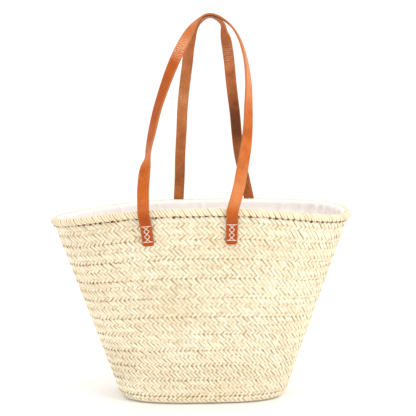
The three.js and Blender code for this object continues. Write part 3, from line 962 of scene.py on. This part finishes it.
def rim():
    """The palm binding wrapped over the rim in pairs of strips, on a shaded core."""
    dice = np.random.default_rng(400)
    corners, faces = binding_strip()
    along, across, off = corners.T
    pairs = round(RIM_LENGTH / WRAP_PAIR)
    count = pairs * 2
    x = (np.arange(count) + 0.5) * RIM_LENGTH / count
    # The two wraps of a pair are drawn together at the outer hem.
    pull = np.where(np.arange(count) % 2 == 0, 0.75, -0.75)[:, None] * np.exp(-along / 3.2)
    slip = (SECTION_LENGTH / 2 - along) * dice.normal(WRAP_SLIP, 0.012, count)[:, None]
    flat_x = x[:, None] + across * dice.normal(1, 0.04, count)[:, None] + slip + pull
    flat_y = along + dice.normal(0, 0.35, count)[:, None]
    flat_z = off + dice.normal(0.1, 0.07, count)[:, None]
    laid = lay_on_rim(flat_x.ravel(), flat_y.ravel(), flat_z.ravel()) * MM
    notes = leaf_notes(dice, count, 0, RIM_BEARING(x / RIM_LENGTH), np.full(count, RIM_HEIGHT + 1))
    notes["tone"] = 0.72 + 0.4 * (notes["tone"] - 0.64)
    values = {key: np.repeat(value, len(corners)) for key, value in notes.items()}
    values["along"] = np.tile(along / SECTION_LENGTH * 2 - 1, count) * 0.7
    values["across"] = np.tile(across / (WRAP_WIDTH / 2), count)
    map_x = along + WRAP_MAP_SPACING * np.arange(count)[:, None]
    flat = np.stack([map_x.ravel(), np.tile(across, count)], axis=1)
    wraps = (laid, repeated(faces, len(corners), count), values, flat, 0)

    def lay_below_hem(px, py, pz):
        wall = wall_at(RIM_BEARING(px / RIM_LENGTH))
        return on_wall(wall, wall["length"] - SKIRT + py, pz + 3.2)

    # Dark slots where the sewing strip goes through, along the outer hem: beads painted with the shade
    # inside them.
    size = dice.uniform(0.75, 1.3, pairs) * (dice.random(pairs) < 0.85)
    x = (np.arange(pairs) + dice.uniform(-0.12, 0.12, pairs)) * RIM_LENGTH / pairs
    y = dice.normal(-0.9, 0.3, pairs)
    turn = dice.normal(0.4, 0.16, pairs)
    shown = size > 0
    size = size[shown]
    slots = copies(
        BEAD, x[shown], y[shown], turn[shown], (size * 1.2, size * 1.45, size), lay_below_hem,
        {"tone": 0 * size, "hue": 0 * size}, kind=1,
    )
    binding = gather("rim_wrapping", [wraps, slots])

    def lay_core(a, b, c):
        return lay_on_rim(a * RIM_LENGTH, b * SECTION_LENGTH * 0.995 + 0.1, -0.25 - 1.0 * (1 - c))

    core, _ = band("core", 240, 16, lay_core)
    finish_palm(binding, core, BINDING_LEAF, "palm_binding", "rim_binding", "rim_rope", angle=60)
    return binding


rim_piece = rim()


# ---- the cotton lining -------------------------------------------------------

# Each sharp crease in the lining: its bearing, half its width in radians, and its depth.
CREASES = (
    (2.45, 0.014, 3.0), (2.165, 0.014, 3.2), (1.85, 0.012, 2.8), (1.571, 0.01, 1.8),
    (0.98, 0.03, 2.0), (0.59, 0.014, 4.0), (0.37, 0.022, 3.6),
)


def folds(bearing, up):
    """How far the cloth stands in from the plait: soft folds, deeper by the rim and at the
    right-hand end, where it was gathered, and a few sharp creases."""
    wave = 0.5 + 0.5 * np.sin(13 * bearing + 1.8 * np.sin(3 * bearing) + 0.5 * np.sin(5 * up))
    fine = 0.5 + 0.5 * np.sin(37 * bearing + 2.0 * np.sin(4 * bearing + 2 * up))
    depth = 1.6 * wave ** 2 + 0.7 * fine ** 3
    around = np.mod(bearing + math.pi, 2 * math.pi) - math.pi
    gathers = np.exp(-((around - 0.2) / 0.5) ** 2)
    depth = depth + gathers * 4.5 * (0.5 + 0.5 * np.sin(40 * bearing + 1.5 * up)) ** 2.5
    for at, width, high in CREASES:
        depth = depth + high * np.exp(-((around - at + 0.05 * (1 - up)) / width) ** 2)
    hem = np.clip((1.0 - up) / 0.012, 0.3, 1)
    return depth * (0.25 + 0.75 * up ** 1.5) * np.clip(up * 8, 0, 1) * hem


# The way of the cloth up the inside of the binding, out and up from the middle of the rope.
OVER_BINDING = np.array([
    (-2.95, -6.7), (-4.2, -5.6), (-5.4, -4.3), (-6.0, -2.7), (-6.35, 0.2), (-6.0, 2.5),
    (-4.9, 4.2),
])
CLOTH_THICK = 0.5


def lining():
    """The cloth round the wall, with its hem over the binding, and the floor of the lining."""
    length, bearing_at = round_table(lambda b: on_wall(wall_at(b), SIDE_LENGTH * 0.7, -3.0))
    over = travelled_along(OVER_BINDING)

    def lay_wall(a, b, c):
        bearing = bearing_at(a)
        wall = wall_at(bearing)
        straight = wall["length"] + OVER_BINDING[0, 1]
        travelled = b * (straight + over[-1])
        past = np.maximum(travelled - straight, 0)
        off, up = along_line(past, over, OVER_BINDING).T
        distance = np.where(past > 0, wall["length"] + up, travelled)
        return on_wall(wall, distance, off - CLOTH_THICK * (1 - c) - folds(bearing, b))

    cloth, flat = band("lining_cloth", 960, 48, lay_wall)
    flat_map(cloth, np.stack([flat[:, 0] * length, flat[:, 1] * SIDE_LENGTH], axis=1))
    close_up(cloth)
    paint(cloth, COTTON)
    smooth(cloth, 180)
    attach(cloth, "basket")
    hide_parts("lining_wall")

    bpy.ops.mesh.primitive_circle_add(vertices=144, radius=1, fill_type="NGON")
    floor = begin("lining_floor")
    bpy.ops.mesh.select_all(action="SELECT")
    for depth in (0.12, 0.16, 0.2, 0.2):
        bpy.ops.mesh.inset(thickness=depth)
    bpy.ops.mesh.poke()
    done(floor)
    flat = points_of(floor)
    radius = np.linalg.norm(flat[:, :2], axis=1)
    bearing = np.arctan2(flat[:, 1], flat[:, 0])
    edge = 1 - radius
    rise = 5.0 + 1.5 * radius * edge * (1 + np.sin(3 * bearing))
    rise = rise + 0.5 * np.sin(9 * bearing) * radius ** 2 * edge
    placed = with_height(base_point(bearing, SEAM, 0) * radius[:, None], rise)
    flat_map(floor, placed[:, :2])
    move_points(floor, placed * MM)
    modify(floor, "SOLIDIFY", thickness=0.0006, offset=1.0)
    close_up(floor)
    paint(floor, COTTON)
    smooth(floor, 60)
    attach(floor, "basket")
    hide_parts("lining_bottom")


lining()


# ---- leather handles ---------------------------------------------------------

def leg_wall(side, across, lean, up):
    """The wall where a leg stands, at a distance up from the rim's middle."""
    x = across + math.tan(math.radians(lean)) * (up + SEWN_TOP)
    low = 0.0
    high = math.pi
    for _ in range(40):
        middle = (low + high) / 2
        wall = wall_at([middle])
        if on_wall(wall, wall["length"] + up, 0.0)[0, 0] > x:
            low = middle
        else:
            high = middle
    return wall_at([side * low])


def leg_points(side, across, lean):
    """A leg's middle line from its sewn end up over the rim: place and turn."""
    flat = STRAP_GAP + STRAP_THICK / 2
    line = [(-SEWN_TOP - SEWN_LENGTH * share, flat) for share in (1.0, 0.8, 0.6, 0.4, 0.2)]
    line += [(-SEWN_TOP + 0.7, 5.2), (-3.5, 8.1), (5.0, 8.2)]
    out = []
    for up, off in line:
        wall = leg_wall(side, across, lean, up)
        place = on_wall(wall, wall["length"] + up, off)[0]
        turn = math.degrees(math.atan2(abs(wall["out"][0, 0]), abs(wall["out"][0, 1])))
        out.append((*place, turn))
    return out


def through(points, u):
    """A smooth curve through points, at u from 0 to the last point's number."""
    i = np.clip(np.floor(u).astype(int), 0, len(points) - 2)
    t = (u - i)[:, None]
    last = len(points) - 1
    a, b, c, d = (points[np.clip(i + k, 0, last)] for k in (-1, 0, 1, 2))
    return (
        a * (-t / 2 + t ** 2 - t ** 3 / 2) + b * (1 - 2.5 * t ** 2 + 1.5 * t ** 3)
        + c * (t / 2 + 2 * t ** 2 - 1.5 * t ** 3) + d * (t ** 3 / 2 - t ** 2 / 2)
    )


def route(handle):
    """The way a strap lies: (travelled, centre, across, facing) at close steps."""
    side = handle["side"]
    lean = (LEAN_FOOT_Y - CROWN_Y) / (CROWN_Z - LEAN_FOOT_Z)
    loop = [
        (x, side * max(CROWN_Y, LEAN_FOOT_Y - lean * (z - LEAN_FOOT_Z)), z, turn)
        for x, z, turn in handle["loop"]
    ]
    left = leg_points(side, *handle["legs"]["left"])
    right = leg_points(side, *handle["legs"]["right"])
    points = np.array(left + loop + right[::-1], float)
    line = through(points, np.linspace(0, len(points) - 1, 1600))
    centre = line[:, :3]
    way = unit(np.gradient(centre, axis=0))
    facing = unit(np.array([0.0, side, 0.0]) - way * (way[:, 1:2] * side))
    turn = np.radians(line[:, 3:4]) * side
    facing = facing * np.cos(turn) + np.cross(way, facing) * np.sin(turn)
    return travelled_along(centre), centre, np.cross(way, facing), facing


def lay_along(way, x, y, z):
    """x along the strap, y across it, z out of its smooth face, from its middle."""
    centre, across, facing = (along_line(x, way[0], line) for line in way[1:])
    return centre + across * y[:, None] + facing * z[:, None]


def strap(name, handle, way):
    """A strap cut from one hide: rounded ends, softened edges, and the creases of use."""
    length = way[0][-1]
    steps = round(length / 1.8)
    bpy.ops.mesh.primitive_grid_add(x_subdivisions=steps, y_subdivisions=8, size=1)
    obj = done(begin(name + "_handle_strap"))
    flat = points_of(obj)
    # The steps are closer together by the two ends, where the corners are rounded.
    even = flat[:, 0] + 0.5
    along = length * (even - 0.9 * np.sin(2 * math.pi * even) / (2 * math.pi))
    near = np.minimum(along, length - along)
    reach = np.clip(STRAP_CORNER - near, 0, STRAP_CORNER)
    half = STRAP_WIDTH / 2 - (STRAP_CORNER - np.sqrt(STRAP_CORNER ** 2 - reach ** 2))
    move_points(obj, np.stack([along, flat[:, 1] * 2 * half, 0 * along], axis=1))
    modify(obj, "SOLIDIFY", thickness=STRAP_THICK, offset=0.0)
    modify(obj, "BEVEL", width=0.75, segments=2, limit_method="ANGLE", angle_limit=math.radians(50))
    flat = points_of(obj)
    x, y, z = flat.T
    share = y / (STRAP_WIDTH / 2)
    # The strap keeps its cut shape by its sewn ends, and curls and sways where it is free.
    free = np.clip((np.minimum(x, length - x) - 55) / 60, 0, 1)
    cup = 0.45 * np.sin(x / 37 + handle["side"]) * free
    sway = 0.5 * np.sin(x / 23 + 1.3) * np.sin(x / 61) * free
    laid = lay_along(way, x, y + sway, z + cup * (share ** 2 - 0.4))
    move_points(obj, laid * MM)
    note(obj, "face", np.clip(z / STRAP_THICK + 0.5, 0, 1))
    outer_edge = np.clip((np.abs(share) - 0.9) / 0.1, 0, 1)
    note(obj, "rim", outer_edge * 0.7)
    # Above 0 is a painted highlight for the shine of the leather; below 0 the strap is darker.
    sheen_and_darkening = np.interp(x / length, *np.array(handle["sheen_and_darkening"]).T)
    note(obj, "painted_sheen", np.clip(sheen_and_darkening, 0, 1))
    # The flesh side of the front crown lies in the shade between the two crowns.
    shaded = np.exp(-((x / length - 0.5) / 0.06) ** 4) * (z < 0) * (handle["side"] < 0)
    note(obj, "dark", np.clip(np.maximum(-sheen_and_darkening, shaded), 0, 1))
    creased = sum(high * np.exp(-((x / length - at) / reach) ** 4) for at, reach, high in handle["creased"])
    note(obj, "creased", creased)
    flat_map(obj, flat[:, :2])
    close_up(obj)
    paint(obj, LEATHER)
    smooth(obj, 40)
    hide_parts(name + "_handle_loop", name + "_left_sewn_end", name + "_right_sewn_end")
    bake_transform(obj)


def thread_length():
    """A round thread one millimetre long, to be stretched, that dips into the leather at
    both ends."""
    bpy.ops.mesh.primitive_cylinder_add(
        vertices=8, radius=THREAD_RADIUS, depth=1, rotation=(0, math.pi / 2, 0),
    )
    thread = begin("thread")
    cut((-0.42, -0.25, 0.0, 0.25, 0.42), 0)
    pick(thread, lambda co: abs(co.x) > 0.45)
    bpy.ops.transform.translate(value=(0, 0, -1.0))
    pick(thread, lambda co: abs(co.x) < 0.3)
    bpy.ops.transform.translate(value=(0, 0, 0.15))
    return shape_of(done(thread))


SEW = thread_length()


def stitches(name, leg, way):
    """A bar at each end and a chain of crosses between them, in strap places."""
    length = way[0][-1]
    low = SEWN_LENGTH - STITCH_INSET - STITCH_LENGTH
    high = SEWN_LENGTH - STITCH_INSET
    cell = STITCH_LENGTH / CROSSES
    # Each stitch: its middle along the strap, its turn and its length.
    rows = [(at, math.pi / 2, STRAP_WIDTH - 2 * STITCH_END) for at in (low, high)]
    for i in range(CROSSES):
        for way_round in (1, -1):
            turn = way_round * math.atan2(STITCH_WIDTH, cell)
            rows.append((low + (i + 0.5) * cell, turn, math.hypot(STITCH_WIDTH, cell) + 0.8))
    rows = np.array(rows)
    x = rows[:, 0] if leg == "left" else length - rows[:, 0]
    top = STRAP_THICK / 2 + 0.15

    def lay(px, py, pz):
        return lay_along(way, px, py, pz + top)

    ones = np.ones(len(x))
    stretch = (rows[:, 2], ones, ones)
    part = copies(SEW, x, 0 * x, rows[:, 1], stretch, lay, {}, THREAD_MAP_SPACING)
    obj = gather(f"{name}_{leg}_thread", [part])
    paint(obj, THREAD)
    smooth(obj, 70)
    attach(obj, "basket")
    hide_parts(f"{name}_{leg}_stitching")


for handle_name, handle_facts in HANDLES.items():
    strap_way = route(handle_facts)
    strap(handle_name, handle_facts, strap_way)
    for leg_name in handle_facts["legs"]:
        stitches(handle_name, leg_name, strap_way)


# ---- floor, light and camera -------------------------------------------------

bpy.ops.mesh.primitive_plane_add(size=14)
floor = done(begin("studio_floor"))
paint(floor, studio_floor())


def lamp(name, place, target, size, power, colour="#FFFFFF"):
    data = bpy.data.lights.new(name, "AREA")
    data.shape = "DISK"
    data.size = size
    data.energy = power
    data.color = linear(colour)[:3]
    obj = bpy.data.objects.new(name, data)
    obj.location = place
    obj.rotation_euler = (Vector(target) - Vector(place)).to_track_quat("-Z", "Y").to_euler()
    bpy.context.collection.objects.link(obj)


lamp("key", (1.7, -1.5, 2.1), (0, 0, 0.2), 1.1, 26, "#FFFDF8")
lamp("fill", (-1.9, -2.2, 1.3), (0, 0, 0.25), 1.8, 4)
lamp("top", (0.2, 0.6, 2.6), (0, 0, 0.2), 1.6, 8)

world = bpy.data.worlds.new("studio")
world.use_nodes = True
world.node_tree.nodes["Background"].inputs["Color"].default_value = (1, 1, 1, 1)
world.node_tree.nodes["Background"].inputs["Strength"].default_value = 1.06
bpy.context.scene.world = world

# The camera is in front, looks a little down, and leans by less than a degree.
camera_data = bpy.data.cameras.new("camera")
camera_data.sensor_width = 36
camera_data.lens = 66.18
camera = bpy.data.objects.new("camera", camera_data)
bpy.context.collection.objects.link(camera)
pitch = 0.1019
roll = -0.0128
forward = Vector((0, math.cos(pitch), -math.sin(pitch)))
right = Vector((1, 0, 0))
above = right.cross(forward)
camera_x = right * math.cos(roll) + above * math.sin(roll)
camera_y = above * math.cos(roll) - right * math.sin(roll)
turned = Matrix((camera_x, camera_y, -forward)).transposed().to_4x4()
camera.matrix_world = Matrix.Translation((0.01135, -1.2, 0.42035)) @ turned
bpy.context.scene.camera = camera
bpy.context.scene.view_settings.view_transform = "Standard"
